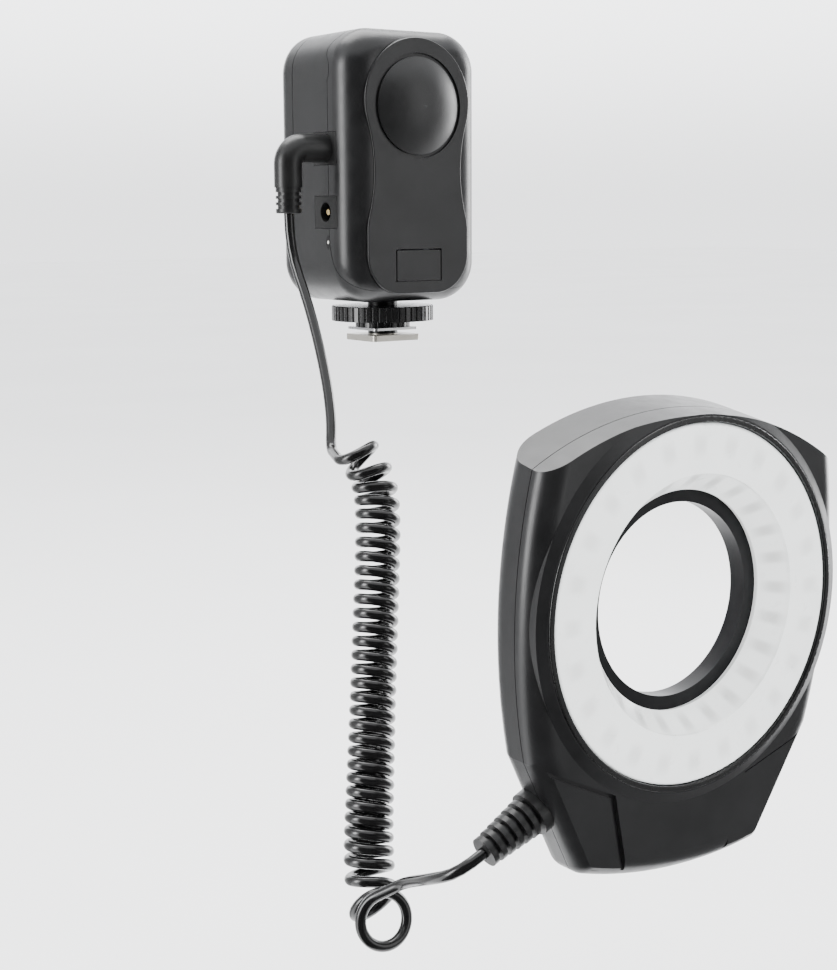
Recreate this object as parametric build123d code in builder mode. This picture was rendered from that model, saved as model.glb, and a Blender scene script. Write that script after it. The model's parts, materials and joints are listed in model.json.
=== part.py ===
from build123d import *
from math import acos, atan2, cos, degrees, hypot, pi, radians, sin, sqrt, tan
import os

# Ring light for close-up work: a lamp head that screws to a lens, a control unit that sits
# in an accessory shoe, and a curly cord between them. Millimetres, +Z up, the lamp faces -Y.
# The origin is the middle of the underside of the control unit's shoe foot.

# Clearances shared by many pieces
slip = 0.15
run_gap = 0.05
press_gap = 0.02
seam = 0.25

# Shoe foot, clamp plate and lock wheel
foot_width = 18.6
foot_depth = 18.0
foot_thick = 2.0
foot_round = 1.2
rail_gap = 1.6
clamp_side = 17.6
clamp_thick = 0.8
stem_r = 5.0
hub_r = 9.2
hub_height = 2.3
hub_ribs = 24
wheel_r = 17.2
wheel_thick = 5.0
wheel_ribs = 48
rib_depth = 0.45
wheel_lift = 1.2
wheel_pitch = 1.0
contact_r = 1.1

# Control unit casing
unit_width = 53.0
unit_depth = 45.0
unit_height = 87.5
unit_bottom = 13.5
unit_front = -21.6
unit_corner = 13.0
front_round = 9.5
back_round = 6.5
unit_wall = 2.2
front_seam = -9.3
back_seam = 12.5
unit_back = unit_front + unit_depth
unit_top = unit_bottom + unit_height
unit_mid = (unit_top + unit_bottom) / 2
unit_post_in = 11.0
unit_post_half = 2.3
unit_screw_length = unit_back - back_seam + 0.4

# Battery door on the front: two round ends joined by a waist
door_top_r = unit_width / 2 - 6.2
door_top_z = unit_top - 3.0 - door_top_r
door_low_r = door_top_r - 0.6
door_low_z = unit_bottom + 21.1
door_waist = door_top_r - 3.3
door_waist_z = (door_top_z + door_low_z) / 2 - 0.15
door_bottom = unit_bottom + 2.9
door_bottom_r = 12.5
door_proud = 0.5
door_thick = 1.9
door_lip = 2.0
door_travel = 12.0
dome_r = door_top_r - 4.8
dome_z = door_top_z - 1.2
dome_height = 4.2
dome_base = 0.8
dome_gap = 1.2
dome_groove = 0.8
tab_half = 8.6
tab_low = door_bottom + 4.1
tab_top = tab_low + 9.9
tab_gap = 0.45

# Batteries, their tray and the circuit board
cell_r = 7.15
cell_length = 49.2
cell_nub_r = 2.7
cell_nub = 1.2
cell_pitch = 14.8
cell_play = 0.25
tray_wall = 1.2
tray_half = cell_pitch / 2 + cell_r + cell_play + tray_wall
tray_low = 18.6
unit_post_x = tray_half + 0.3 + unit_post_half
unit_posts = [(side * unit_post_x, z) for side in (-1, 1)
              for z in (unit_bottom + unit_post_in, unit_top - unit_post_in)]
leaf_thick = 0.4
leaf_width = 10.0
bump_size = 4.0
bottom_bump = 1.5
board_thick = 1.6
board_width = unit_width - 11.0
board_low = unit_bottom + 6.5
board_top = unit_top - 7.0
board_y = 13.4

# Sockets in the left side
jack_y = -7.3
jack_width = 13.2
jack_height = 10.2
jack_depth = unit_width / 2 - tray_half - 1.1
output_z = unit_bottom + 49.6
power_z = unit_bottom + 29.35
output_bore_r = 1.9
power_bore_r = 3.1
power_pin_r = 1.05
power_pin_length = jack_depth - 1.4
jack_floor = 1.4
lamp_y = -8.6
lamp_z = unit_bottom + 19.7
lamp_half_width = 1.3
lamp_half_height = 2.4
lamp_depth = 3.0

# Controls on the back of the unit
dial_z = unit_top - 21.0
dial_r = 8.0
dial_height = 4.6
dial_shaft_r = 3.0
dial_flutes = 20
dial_pot_r = 6.5
test_z = unit_bottom + 24.5
switch_z = (dial_z + test_z) / 2 - 1.0
switch_x = 10.0
switch_width = 4.0
switch_height = 6.0
switch_travel = 2.5
switch_proud = 1.4
switch_body_depth = 3.2
test_r = 4.2
test_travel = 0.8
test_proud = 1.3
test_flange = 1.0
ready_z = (dial_z + switch_z) / 2 - 3.0
ready_r = 1.6
control_step = 0.3

# Plug, cable and curly cord
cable_r = 1.6
plug_r = 4.5
plug_elbow = 5.2
plug_x = -unit_width / 2 - 13.8
plug_drop = 12.4
plug_tip_r = 1.75
plug_tip_length = jack_depth - 1.9
collar_r = 4.1
collar_length = 8.2
collar_ribs = 3
collar_groove = 0.55

# Lamp head: the middle of the front face and the slab behind it. The outline follows the
# diffuser, the bezel round it and the boss round that.
head_y = -154.0
head_z = -63.3
slab_front = 1.2
slab_back = 20.5
head_seam = 8.3
head_wall = 2.0
side_front_round = 6.5
side_back_round = 7.5
diffuser_r = 50.0
bezel_r = diffuser_r + 1.9
bezel_front = -0.5
bezel_depth = 3.4
boss_r = bezel_r + 3.3
arch_r = 2 * diffuser_r
arch_top = boss_r - 4.4
arch_slope = 10.0
shoulder_x = boss_r - 4.0
shoulder_z = boss_r - 13.9
waist_x = boss_r + 1.2
waist_z = -4.0
heel_x = boss_r - 22.2
heel_z = -boss_r - 16.8
hip_x = heel_x + 18.0
hip_z = heel_z + 32.5
chin_round = 4.5
chin_drop = boss_r + 20.8
crease_x = 0.442 * boss_r
crease_z = -0.9095 * boss_r
panel_slope = 0.2576
panel_depth = 1.0
groove_width = 1.1
groove_depth = 0.5
head_roll = 3.5

# Diffuser, reflector, lamps and their board
diffuser_hole_r = 30.9
diffuser_flat_r = diffuser_hole_r + 5.3
diffuser_step = 0.8
diffuser_hole_y = 7.6
diffuser_skin = 1.5
diffuser_rim = 4.0
reflector_hole_r = 31.2
reflector_base = 8.05
reflector_back = 9.2
reflector_wall = 1.1
led_count = 16
led_band = diffuser_r - diffuser_flat_r
led_rings = (diffuser_flat_r + 0.26 * led_band, diffuser_flat_r + 0.667 * led_band)
led_size = 0.246 * led_band
led_height = 1.4
led_board_thick = 1.2
led_board_r = diffuser_flat_r - 0.7
spine_r = 42.0
spine_wall = 2.0

# Lens adapter ring, its latches and the rear bore
throat_r = 34.6
throat_wall = 1.6
adapter_flange_r = 34.5
adapter_bore_r = 27.3
thread_r = 29.0
thread_length = 3.2
adapter_y = 9.4
adapter_thick = 2.2
latch_half = 7.0
latch_thick = 1.8
latch_travel = 2.1
latch_reach = 32.6
latch_outer = 44.4
latch_knob = 3.0
latch_knob_half = 4.0
latch_proud = 3.0
post_r = 3.2
head_screw_r = 1.2
screw_head_r = 2.2
screw_head_depth = 1.4
post_ring = diffuser_r + post_r + 0.2
post_x = post_ring * cos(radians(35.5))
post_z = post_ring * sin(radians(35.5))
posts = [(side * x, z) for side in (1, -1) for x, z in ((post_x, post_z), (heel_x - 3.0, heel_z + 16.0))]

# Strain relief on the lamp head
boot_y = 12.0
boot_z = heel_z + 17.75
boot_length = 19.2
boot_flange_r = 6.4
boot_flange = 2.6
boot_sink = 3.2
boot_r = 5.6
boot_end_r = 3.7
boot_discs = 6
boot_core = 0.72

# Curly part of the cord. The rise per turn and the radius change along its centre line,
# whose control points follow; the marks are shares of that line.
curl_turns = 32.22
curl_steps = 129
curl_start_angle = 180.0
curl_across = Vector(0.82, -0.57, 0.0)
curl_marks = (0.0, 0.06, 0.16, 0.60, 0.70, 0.78, 0.92, 0.96, 1.0)
curl_rises = (8.0, 7.0, 4.6, 3.72, 4.1, 10.2, 10.8, 24.0, 60.0)
curl_r_marks = (0.0, 0.45, 0.75, 0.90, 1.0)
curl_radii = (5.45, 5.45, 6.05, 7.5, 7.5)
curl_axis = [
    Vector(-53.5, -50.0, -19.5),
    Vector(-47.0, -53.5, -26.5),
    Vector(-40.8, -56.3, -35.5),
    Vector(-41.2, -59.5, -47.0),
    Vector(-48.0, -67.6, -73.0),
    Vector(-54.8, -75.8, -100.0),
    Vector(-60.8, -83.0, -124.0),
    Vector(-64.2, -87.0, -138.0),
    Vector(-66.0, -90.7, -153.0),
    Vector(-67.8, -101.0, -156.4),
    Vector(-72.6, -110.5, -150.6),
    Vector(-77.4, -120.0, -144.8),
]

# Free stretches of the cord: corners of their routes between the pieces that they join
upper_corners = [
    Vector(-39.7, -18.0, 13.8),
    Vector(-41.5, -30.0, -6.2),
    Vector(-44.6, -38.5, -20.0),
]
upper_first = 11.5
upper_last = 6.0
lower_turn = Vector(-12.6, 9.0, -8.9)
lower_first = 8.0
lower_last = 9.0


def view_plane(y, x=0.0, z=0.0):
    """Plane at depth y that looks along -Y, with +Z up the page."""
    return Plane(origin=(x, y, z), x_dir=(1, 0, 0), z_dir=(0, -1, 0))


def head_plane(depth):
    """The same, at a depth behind the lamp's front and centred on the lens axis."""
    return view_plane(head_y + depth, 0.0, head_z)


def save(piece, label):
    """Name a finished piece and write it as its own file."""
    piece.part.label = label
    export_step(piece.part, f"parts/{label}.step")


def save_turned(piece, label):
    """The same for a piece of the lamp head, which hangs a little turned about the lens axis."""
    turned = piece.part.rotate(Axis((0, head_y, head_z), (0, 1, 0)), head_roll)
    turned.label = label
    export_step(turned, f"parts/{label}.step")


def turned_way(way):
    """A direction of the lamp head, turned with it."""
    c, s = cos(radians(head_roll)), sin(radians(head_roll))
    return Vector(way.X * c + way.Z * s, way.Y, way.Z * c - way.X * s)


def disc_of(radius, near, far, hole=0.0):
    """A disc or ring about the lens axis between two depths behind the lamp's front."""
    with BuildPart() as disc:
        with BuildSketch(head_plane(far)):
            Circle(radius)
            if hole > 0:
                Circle(hole, mode=Mode.SUBTRACT)
        extrude(amount=far - near)
    return disc.part


def unit_block(inset):
    """The control unit's outer form, drawn in on every side by the inset."""
    with BuildPart() as block:
        with BuildSketch(view_plane(unit_back - inset, 0.0, unit_mid)):
            RectangleRounded(unit_width - 2 * inset, unit_height - 2 * inset, unit_corner - inset)
        extrude(amount=unit_depth - 2 * inset)
        fillet(block.faces().sort_by(Axis.Y)[0].edges(), front_round - inset)
        fillet(block.faces().sort_by(Axis.Y)[-1].edges(), back_round - inset)
    return block.part


def seam_region(shift):
    """Everything in front of the casing's front seam, which curls forward at the bottom."""
    y = front_seam + shift
    with BuildPart() as region:
        with BuildSketch(Plane.YZ):
            with BuildLine():
                Line((y, unit_top + 8), (y, unit_top - 3))
                ThreePointArc((y, unit_top - 3), (y + 1.7, unit_top - 6.5), (y, unit_top - 10))
                ThreePointArc((y, unit_top - 10), (y - 1.1, unit_top - 13), (y, unit_top - 16.5))
                Line((y, unit_top - 16.5), (y, unit_bottom + 22.5))
                ThreePointArc((y, unit_bottom + 22.5), (y - 3.5, unit_bottom + 11), (y - 13, unit_bottom + 2.6))
                Line((y - 13, unit_bottom + 2.6), (y - 25, unit_bottom - 2.0))
                Line((y - 25, unit_bottom - 2.0), (y - 25, unit_top + 8))
                Line((y - 25, unit_top + 8), (y, unit_top + 8))
            make_face()
        extrude(amount=unit_width, both=True)
    return region.part


def behind_region(y, far):
    """A block across the whole casing between two depths."""
    with BuildPart() as region:
        with BuildSketch(view_plane(far, 0.0, unit_mid)):
            Rectangle(2 * unit_width, 2 * unit_height)
        extrude(amount=far - y)
    return region.part


def door_outline(grow):
    """Sketch of the battery door's outline, grown by an amount on every side."""
    drop = door_top_z - door_waist_z
    waist_r = (door_waist**2 + drop**2 - door_top_r**2) / (2 * (door_top_r - door_waist))
    waist_x = door_waist + waist_r
    upper = atan2(-drop, waist_x)
    reach = door_low_r + waist_r
    low_drop = sqrt(reach**2 - waist_x**2)
    low_z = door_waist_z - low_drop
    lower = atan2(low_drop, waist_x)
    with BuildSketch(Plane.XY) as outline:
        with BuildLine():
            tip = (door_top_r * cos(upper), door_top_z + door_top_r * sin(upper))
            root = (door_low_r * cos(lower), low_z + door_low_r * sin(lower))
            ThreePointArc((0, door_top_z + door_top_r),
                          (door_top_r * sin(radians(50)), door_top_z + door_top_r * cos(radians(50))), tip)
            ThreePointArc(tip, (door_waist, door_waist_z), root)
            hip = (door_low_r, low_z)
            ThreePointArc(root, (door_low_r * cos(lower / 2), low_z + door_low_r * sin(lower / 2)), hip)
            Line(hip, (door_low_r, door_bottom + door_bottom_r))
            RadiusArc((door_low_r, door_bottom + door_bottom_r),
                      (door_low_r - door_bottom_r, door_bottom), door_bottom_r)
            Line((door_low_r - door_bottom_r, door_bottom), (0, door_bottom))
            Line((0, door_bottom), (0, door_top_z + door_top_r))
        make_face()
        mirror(about=Plane.YZ)
        if grow != 0:
            offset(amount=grow, kind=Kind.ARC)
    return outline.sketch


def door_prism(grow, near, far):
    """The door's outline as a solid between two depths."""
    outline = door_outline(grow)
    with BuildPart() as prism:
        with BuildSketch(view_plane(far)):
            add(outline)
        extrude(amount=far - near)
    return prism.part


def jack_block(grow, z, depth):
    """The space that a side socket fills, grown by a clearance."""
    with BuildPart() as block:
        with BuildSketch(Plane(origin=(-unit_width / 2 + depth, jack_y, z), x_dir=(0, 1, 0), z_dir=(-1, 0, 0))):
            Rectangle(jack_width + 2 * grow, jack_height + 2 * grow)
        extrude(amount=depth + 0.2)
    return block.part


def lamp_block(grow, reach):
    """The pointed indicator window in the left side."""
    with BuildPart() as block:
        with BuildSketch(Plane(origin=(-unit_width / 2 + lamp_depth, lamp_y, lamp_z), x_dir=(0, 1, 0),
                               z_dir=(-1, 0, 0))):
            with BuildLine():
                tall = lamp_half_height + grow
                wide = lamp_half_width + grow
                ThreePointArc((0, tall), (0.8 * wide, 0.45 * tall), (wide, 0))
                ThreePointArc((wide, 0), (0.8 * wide, -0.45 * tall), (0, -tall))
                ThreePointArc((0, -tall), (-0.8 * wide, -0.45 * tall), (-wide, 0))
                ThreePointArc((-wide, 0), (-0.8 * wide, 0.45 * tall), (0, tall))
            make_face()
        extrude(amount=lamp_depth + reach)
    return block.part


def ribbed_disc(radius, low, high, ribs, depth):
    """A disc about the shoe's axis with grip ribs all round its rim."""
    with BuildPart() as disc:
        with BuildSketch(Plane.XY.offset(low)):
            Circle(radius)
            with PolarLocations(radius, ribs):
                Circle(depth, mode=Mode.SUBTRACT)
        extrude(amount=high - low)
    return disc.part


# Heights that follow from the foot
clamp_low = foot_thick + rail_gap
hub_low = clamp_low + clamp_thick
wheel_low = hub_low + hub_height
wheel_high = wheel_low + wheel_thick


def make_foot():
    """Shoe foot with the stem that holds it to the casing."""
    with BuildPart() as foot_plate:
        with BuildSketch(Plane.XY):
            RectangleRounded(foot_width, foot_depth, foot_round)
        extrude(amount=foot_thick)
        with BuildSketch(Plane.XY.offset(foot_thick)):
            Circle(stem_r)
        extrude(amount=unit_bottom + unit_wall - foot_thick)
        with BuildSketch(Plane.XY.offset(unit_bottom + unit_wall)):
            Circle(stem_r + 2)
        extrude(amount=1.2)
        with BuildSketch(Plane.XY):
            Circle(contact_r + press_gap)
        extrude(amount=unit_bottom + unit_wall + 1.2, mode=Mode.SUBTRACT)
    save(foot_plate, "foot_plate")

    with BuildPart() as shoe_contact:
        with BuildSketch(Plane.XY):
            Circle(contact_r)
        extrude(amount=unit_bottom + unit_wall + 1.2)
    save(shoe_contact, "shoe_contact")


def make_lock():
    """Lock wheel with its ribbed hub, and the plate that it presses on the shoe."""
    rim = ribbed_disc(wheel_r, wheel_low, wheel_high, wheel_ribs, rib_depth)
    hub = ribbed_disc(hub_r, hub_low, wheel_low, hub_ribs, rib_depth)
    with BuildPart() as lock_wheel:
        add(rim)
        add(hub)
        chamfer(lock_wheel.faces().sort_by(Axis.Z)[-1].edges().filter_by(GeomType.LINE, reverse=True), 0.2)
        with BuildSketch(Plane.XY.offset(hub_low)):
            Circle(stem_r + run_gap)
        extrude(amount=wheel_high - hub_low, mode=Mode.SUBTRACT)
    save(lock_wheel, "lock_wheel")

    with BuildPart() as clamp_plate:
        with BuildSketch(Plane.XY.offset(clamp_low)):
            RectangleRounded(clamp_side, clamp_side, foot_round)
            Circle(stem_r + run_gap, mode=Mode.SUBTRACT)
        extrude(amount=clamp_thick)
    save(clamp_plate, "clamp_plate")


def make_unit_shells():
    """The casing in three shells: front, middle and back cover."""
    outer = unit_block(0)
    inner = unit_block(unit_wall)
    ahead = seam_region(-seam / 2)
    not_ahead = seam_region(seam / 2)
    back_room = behind_region(back_seam + seam / 2, unit_back + 5)
    not_back = behind_region(back_seam - seam / 2, unit_back + 5)
    pocket = door_prism(slip, unit_front - 2, unit_front - door_proud + door_thick)
    mouth = door_prism(-door_lip, unit_front - 2, unit_front + 8)
    cuts = [jack_block(slip, z, jack_depth) for z in (output_z, power_z)]
    cuts.append(lamp_block(press_gap, 2))

    with BuildPart() as unit_front_shell:
        add(outer)
        add(inner, mode=Mode.SUBTRACT)
        add(ahead, mode=Mode.INTERSECT)
        add(pocket, mode=Mode.SUBTRACT)
        add(mouth, mode=Mode.SUBTRACT)
        for cut in cuts:
            add(cut, mode=Mode.SUBTRACT)
    save(unit_front_shell, "unit_front_shell")

    with BuildPart() as unit_middle_shell:
        add(outer)
        add(inner, mode=Mode.SUBTRACT)
        post_in = unit_post_x - unit_post_half
        post_out = unit_width / 2 - unit_wall + 1
        for x, z in unit_posts:
            middle = (post_in + post_out) / 2 * (1 if x > 0 else -1)
            with BuildSketch(view_plane(back_seam, middle, z)):
                Rectangle(post_out - post_in, 2 * unit_post_half)
            extrude(amount=6.8)
            with BuildSketch(view_plane(back_seam + 0.1, x, z)):
                Circle(head_screw_r)
            extrude(amount=3.8, mode=Mode.SUBTRACT)
        add(outer, mode=Mode.INTERSECT)
        add(not_ahead, mode=Mode.SUBTRACT)
        add(not_back, mode=Mode.SUBTRACT)
        for cut in cuts:
            add(cut, mode=Mode.SUBTRACT)
        with BuildSketch(Plane.XY.offset(unit_bottom - 1)):
            Circle(stem_r + slip)
        extrude(amount=unit_wall + 2, mode=Mode.SUBTRACT)
    save(unit_middle_shell, "unit_middle_shell")

    with BuildPart() as unit_back_cover:
        add(outer)
        add(inner, mode=Mode.SUBTRACT)
        add(back_room, mode=Mode.INTERSECT)
        hole_plane = view_plane(unit_back + 1)
        with BuildSketch(hole_plane):
            with Locations((0, dial_z)):
                Circle(dial_shaft_r + run_gap)
            with Locations((0, test_z)):
                Circle(test_r + run_gap)
            with Locations((0, ready_z)):
                Circle(ready_r + press_gap)
            with Locations((-switch_x, switch_z), (switch_x, switch_z)):
                RectangleRounded(switch_width + 2 * slip, switch_height + 2 * switch_travel + 2 * slip, 0.6)
            with Locations(*unit_posts):
                Circle(head_screw_r + slip)
        extrude(amount=unit_wall + 3, mode=Mode.SUBTRACT)
        with BuildSketch(hole_plane):
            with Locations(*unit_posts):
                Circle(screw_head_r + slip)
        extrude(amount=1 + screw_head_depth, mode=Mode.SUBTRACT)
    save(unit_back_cover, "unit_back_cover")


def make_unit_screws():
    """Four screws that hold the casing's shells together."""
    with BuildPart() as unit_screws:
        with BuildSketch(view_plane(unit_back - 0.1)):
            with Locations(*unit_posts):
                Circle(screw_head_r)
        extrude(amount=screw_head_depth - 0.1)
        with BuildSketch(view_plane(unit_back - screw_head_depth)):
            with Locations(*unit_posts):
                Circle(head_screw_r)
        extrude(amount=unit_screw_length)
        with BuildSketch(view_plane(unit_back)):
            with Locations(*unit_posts):
                Rectangle(2.6, 0.5)
                Rectangle(0.5, 2.6)
        extrude(amount=0.7, mode=Mode.SUBTRACT)
    save(unit_screws, "unit_screws")


def make_door():
    """Battery door with its domed cover and the snap tab at its foot."""
    face_y = unit_front - door_proud
    back_y = face_y + door_thick
    plate = door_prism(0, face_y, back_y)
    with BuildPart() as battery_door:
        add(plate)
        fillet(battery_door.faces().sort_by(Axis.Y)[0].edges(), 0.4)
        with BuildSketch(view_plane(face_y, 0.0, dome_z)):
            Circle(dome_r + dome_gap)
        extrude(amount=-dome_groove, mode=Mode.SUBTRACT)
        tall = tab_top - tab_low
        with BuildSketch(view_plane(face_y - 1, 0.0, tab_low - slip)):
            Rectangle(2 * (tab_half + tab_gap), tall + tab_gap + slip, align=(Align.CENTER, Align.MIN))
        extrude(amount=-(door_thick + 2), mode=Mode.SUBTRACT)
    save(battery_door, "battery_door")

    with BuildPart() as front_dome:
        sphere_r = (dome_r**2 + dome_height**2) / (2 * dome_height)
        swing = acos(1 - dome_height / sphere_r) / 2
        root = face_y + dome_groove
        rim = face_y + dome_groove - dome_base
        with BuildSketch(Plane.XY.offset(dome_z)):
            with BuildLine():
                Line((0, root), (dome_r, root))
                Line((dome_r, root), (dome_r, rim))
                ThreePointArc((dome_r, rim),
                              (sphere_r * sin(swing), rim - dome_height + sphere_r * (1 - cos(swing))),
                              (0, rim - dome_height))
                Line((0, rim - dome_height), (0, root))
            make_face()
        revolve(axis=Axis((0, 0, dome_z), (0, 1, 0)))
    save(front_dome, "front_dome")

    with BuildPart() as door_tab:
        with BuildSketch(view_plane(back_y, 0.0, (tab_low + tab_top) / 2)):
            RectangleRounded(2 * tab_half, tab_top - tab_low, 0.4)
        extrude(amount=door_thick)
        with BuildSketch(view_plane(back_y, 0.0, tab_top - 1.6)):
            Rectangle(8, 1.6)
        extrude(amount=-1.2)
    save(door_tab, "door_tab")


def cell_centres():
    """Axes of the four battery cells, two by two behind the door."""
    front_row = unit_front + unit_wall + 1.9 + cell_r
    return [(sx * cell_pitch / 2, front_row + row * cell_pitch) for row in (0, 1) for sx in (-1, 1)]


cell_low = tray_low + tray_wall + leaf_thick + bottom_bump
cell_high = cell_low + cell_length + cell_nub
tray_high = cell_high + cell_play + leaf_thick + tray_wall


def make_cells():
    """Four cells that stand in the tray, and the metal leaves that join them."""
    for number, (x, y) in enumerate(cell_centres(), start=1):
        with BuildPart() as cell:
            with BuildSketch(Plane.XY.offset(cell_low)):
                with Locations((x, y)):
                    Circle(cell_r)
            extrude(amount=cell_length)
            fillet(cell.edges(), 0.5)
            with BuildSketch(Plane.XY.offset(cell_low + cell_length)):
                with Locations((x, y)):
                    Circle(cell_nub_r)
            extrude(amount=cell_nub)
        save(cell, f"battery_cell_{number}")

    with BuildPart() as spring_leaves:
        for x, y in cell_centres():
            with BuildSketch(Plane.XY.offset(cell_low - bottom_bump - leaf_thick)):
                with Locations((x, y)):
                    Rectangle(leaf_width, leaf_width)
            extrude(amount=leaf_thick)
            with BuildSketch(Plane.XY.offset(cell_low - bottom_bump)):
                with Locations((x, y)):
                    Circle(bump_size)
            extrude(amount=bottom_bump, taper=25)
    save(spring_leaves, "spring_leaves")

    with BuildPart() as contact_leaves:
        front_y = cell_centres()[0][1]
        for sx in (-1, 1):
            with BuildSketch(Plane.XY.offset(tray_high - tray_wall - leaf_thick)):
                with Locations((sx * cell_pitch / 2, front_y + cell_pitch / 2)):
                    Rectangle(leaf_width, leaf_width + cell_pitch)
            extrude(amount=leaf_thick)
    save(contact_leaves, "contact_leaves")


def make_tray():
    """Open-fronted tray that holds the cells."""
    centres = cell_centres()
    half = tray_half - tray_wall
    front = centres[0][1] - cell_r
    back = centres[-1][1] + cell_r + cell_play
    with BuildPart() as battery_tray:
        with BuildSketch(Plane.XY.offset(tray_low)):
            with Locations((0, (front + back + tray_wall) / 2)):
                Rectangle(2 * tray_half, back + tray_wall - front)
        extrude(amount=tray_high - tray_low)
        with BuildSketch(Plane.XY.offset(tray_low + tray_wall)):
            with Locations((0, (front + back) / 2 - 1)):
                Rectangle(2 * half, back - front + 2)
        extrude(amount=tray_high - tray_low - 2 * tray_wall, mode=Mode.SUBTRACT)
        # Four ribs stand the tray on the casing's floor and against its top
        with BuildSketch(Plane.XY.offset(unit_bottom + unit_wall + 1.2)):
            with Locations((-half + 2, 1), (half - 2, 1)):
                Rectangle(1.6, 12)
        extrude(amount=tray_low - unit_bottom - unit_wall - 1.2)
    save(battery_tray, "battery_tray")
    return back + tray_wall


def make_board(tray_back):
    """Circuit board behind the tray, with its parts, and the sockets' and controls' bodies."""
    back_face = board_y + board_thick
    with BuildPart() as main_board:
        with BuildSketch(view_plane(back_face, 0.0, (board_low + board_top) / 2)):
            Rectangle(board_width, board_top - board_low)
        extrude(amount=board_thick)
        with BuildSketch(view_plane(board_y, 0.0, (board_low + board_top) / 2)):
            with GridLocations(24, 40, 2, 2):
                Circle(2)
        extrude(amount=board_y - tray_back)
        with BuildSketch(view_plane(back_face)):
            with Locations(*unit_posts):
                Circle(head_screw_r + 2 * slip)
        extrude(amount=board_thick, mode=Mode.SUBTRACT)
    save(main_board, "main_board")

    with BuildPart() as board_parts:
        with BuildSketch(view_plane(back_face + 1.6)):
            with Locations((-10, test_z + 5), (11, test_z - 12)):
                Rectangle(7, 7)
            with Locations((13, test_z + 5), (-13, test_z - 10)):
                Rectangle(5, 4)
        extrude(amount=1.6)
        with BuildSketch(view_plane(back_face + 3.0)):
            with Locations((-14, board_top - 8), (14, board_top - 8)):
                Circle(2.5)
        extrude(amount=3.0)
    save(board_parts, "board_parts")

    with BuildPart() as control_bodies:
        with BuildSketch(view_plane(unit_back - unit_wall - control_step)):
            with Locations((0, dial_z)):
                Circle(dial_pot_r)
        extrude(amount=unit_back - unit_wall - control_step - back_face)
        with BuildSketch(view_plane(back_face + 1.0)):
            with Locations((-switch_x, switch_z), (switch_x, switch_z)):
                Rectangle(switch_width + 2.4, 2 * switch_travel + switch_height + 2.4)
        extrude(amount=1.0)
        button_face = unit_back - unit_wall - slip - test_flange
        with BuildSketch(view_plane(button_face - test_travel - 3 * slip, 0.0, test_z)):
            Circle(test_r)
        extrude(amount=button_face - test_travel - 3 * slip - back_face)
        with BuildSketch(view_plane(unit_back)):
            with Locations((0, dial_z)):
                Circle(dial_shaft_r + run_gap)
        extrude(amount=unit_back - back_face - 0.6, mode=Mode.SUBTRACT)
    save(control_bodies, "control_bodies")


def make_jacks():
    """Output socket, power socket with its pin, and the indicator window."""
    shell = unit_block(0)
    for label, z, bore in (("output_jack", output_z, output_bore_r), ("power_jack", power_z, power_bore_r)):
        block = jack_block(0, z, jack_depth)
        with BuildPart() as jack:
            add(block)
            add(shell, mode=Mode.INTERSECT)
            with BuildSketch(Plane(origin=(-unit_width / 2 + jack_floor + (jack_depth - 2 * jack_floor), jack_y, z),
                                   x_dir=(0, 1, 0), z_dir=(-1, 0, 0))):
                Circle(bore)
            extrude(amount=jack_depth, mode=Mode.SUBTRACT)
        save(jack, label)

    with BuildPart() as power_pin:
        with BuildSketch(Plane(origin=(-unit_width / 2 + jack_depth - jack_floor, jack_y, power_z),
                               x_dir=(0, 1, 0), z_dir=(-1, 0, 0))):
            Circle(power_pin_r)
        extrude(amount=power_pin_length - 0.8)
        fillet(power_pin.faces().sort_by(Axis.X)[0].edges(), 0.3)
    save(power_pin, "power_pin")

    window = lamp_block(0, 0)
    with BuildPart() as charge_lamp:
        add(window)
        add(shell, mode=Mode.INTERSECT)
    save(charge_lamp, "charge_lamp")


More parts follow.
